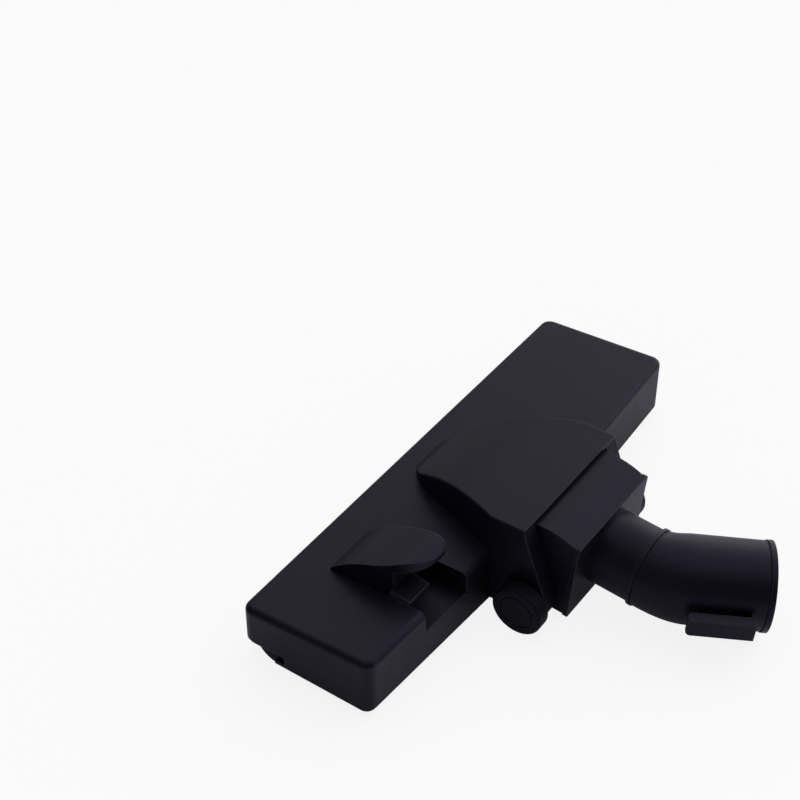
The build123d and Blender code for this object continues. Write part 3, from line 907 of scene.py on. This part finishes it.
class Light(Enum):
    """The studio's soft boxes."""

    SIDE = SoftBox((0.912, -0.373, -0.173), 0.40, 2.3)
    FRONT = SoftBox((0.683, 0.707, 0.174), 0.50, 0.55)
    FILL = SoftBox((-0.883, 0.104, 0.458), 0.30, 0.3)
    OVERHEAD = SoftBox((0.373, -0.033, 0.927), 0.51, 1.36)


@dataclass
class Studio:
    """Pale floor, soft light from the right and from above with a weak fill, and the camera."""

    floor_half: float = 20.0
    floor_colour: Colour = (0.93, 0.93, 0.93)
    bounce_colour: Colour = (0.86, 0.83, 0.93)
    shade_colour: Colour = (0.13, 0.125, 0.145)
    shade_start: float = 0.06
    shade_length: float = 0.12
    light_colour: Colour = (0.96, 0.94, 1.0)
    floor_glow: float = 0.86
    floor_shine: float = 0.04
    camera_place: Vector = field(default_factory=lambda: Vector((-0.5439, -0.3396, 0.6121)))
    camera_back: Vector = field(default_factory=lambda: Vector((-0.6284, -0.4420, 0.6401)))
    lens_mm: float = 81.0
    sensor_mm: float = 36.0

    def build(self) -> None:
        """Set up the view, the floor, the light and the camera."""
        bpy.context.scene.view_settings.view_transform = "Standard"
        self._floor()
        self._dome()
        self._camera()

    def _floor(self) -> None:
        """A wide pale floor that keeps the shadow, and is shaded ahead of the head for bounced light."""
        form = bmesh.new()
        bmesh.ops.create_grid(form, x_segments=1, y_segments=1, size=self.floor_half)
        mesh = bpy.data.meshes.new("floor")
        form.to_mesh(mesh)
        form.free()
        floor = new_piece("floor", mesh)
        tree = ShaderTree("floor_paper")
        path = tree.node("ShaderNodeLightPath", {}, {}, "Is Camera Ray")
        mirrored = path.other("Is Glossy Ray") + path.other("Is Transmission Ray")
        ahead = tree.node("ShaderNodeSeparateXYZ", {}, {0: tree.place}, "Y")
        shaded = ((ahead - self.shade_start) / self.shade_length).clamped()
        bounce = tree.mix_colour(shaded, rgba(self.bounce_colour), rgba(self.shade_colour))
        colour = tree.mix_colour(path, bounce, rgba(self.floor_colour))
        paper = tree.node("ShaderNodeBsdfDiffuse", {}, {"Color": colour})
        glow = tree.node("ShaderNodeEmission", {}, {"Color": rgba((1.0, 1.0, 1.0)), "Strength": 1.0})
        share = (path * self.floor_glow + mirrored * self.floor_shine).clamped()
        mixed = tree.node("ShaderNodeMixShader", {}, {0: share, 1: paper, 2: glow})
        tree.node("ShaderNodeOutputMaterial", {}, {"Surface": mixed})
        mesh.materials.append(tree.material)

    def _dome(self) -> None:
        """The soft boxes, on a dome that is plain white to the camera."""
        world = bpy.data.worlds.new("studio")
        bpy.context.scene.world = world
        world.use_nodes = True
        graph = Graph(world.node_tree)
        way = graph.node("ShaderNodeTexCoord", {}, {}, "Generated")
        levels = [light.value.level(way) for light in Light]
        level = sum(levels[1:], levels[0])
        path = graph.node("ShaderNodeLightPath", {}, {}, "Is Camera Ray")
        strength = path + (1.0 - path) * level
        colour = graph.mix_colour(path, rgba(self.light_colour), rgba((1.0, 1.0, 1.0)))
        sky = graph.node("ShaderNodeBackground", {}, {"Color": colour, "Strength": strength})
        graph.node("ShaderNodeOutputWorld", {}, {"Surface": sky})

    def _camera(self) -> None:
        """A camera that looks down on the object from behind and from its left."""
        lens = bpy.data.cameras.new("camera")
        lens.lens = self.lens_mm
        lens.sensor_width = self.sensor_mm
        holder = bpy.data.objects.new("camera", lens)
        holder.location = self.camera_place
        holder.rotation_euler = (-self.camera_back).to_track_quat("-Z", "Y").to_euler()
        bpy.context.scene.collection.objects.link(holder)
        bpy.context.scene.camera = holder


def main() -> None:
    """Build every piece in order."""
    logging.basicConfig(level=logging.INFO, format="%(name)s %(message)s")
    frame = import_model()
    nodes = frame["nodes"]
    shelf = FinishShelf()
    Mouldings(nodes, shelf).dress()
    for node in ("bristles_front", "bristles_rear"):
        BrushStrip(node, shelf).build()
    for node in ("lint_strip_left", "lint_strip_right"):
        PileStrip(node, shelf).build()
    ScrewSet(shelf).build(nodes["housing_screws"])
    Studio().build()


if __name__ == "__main__":
    main()
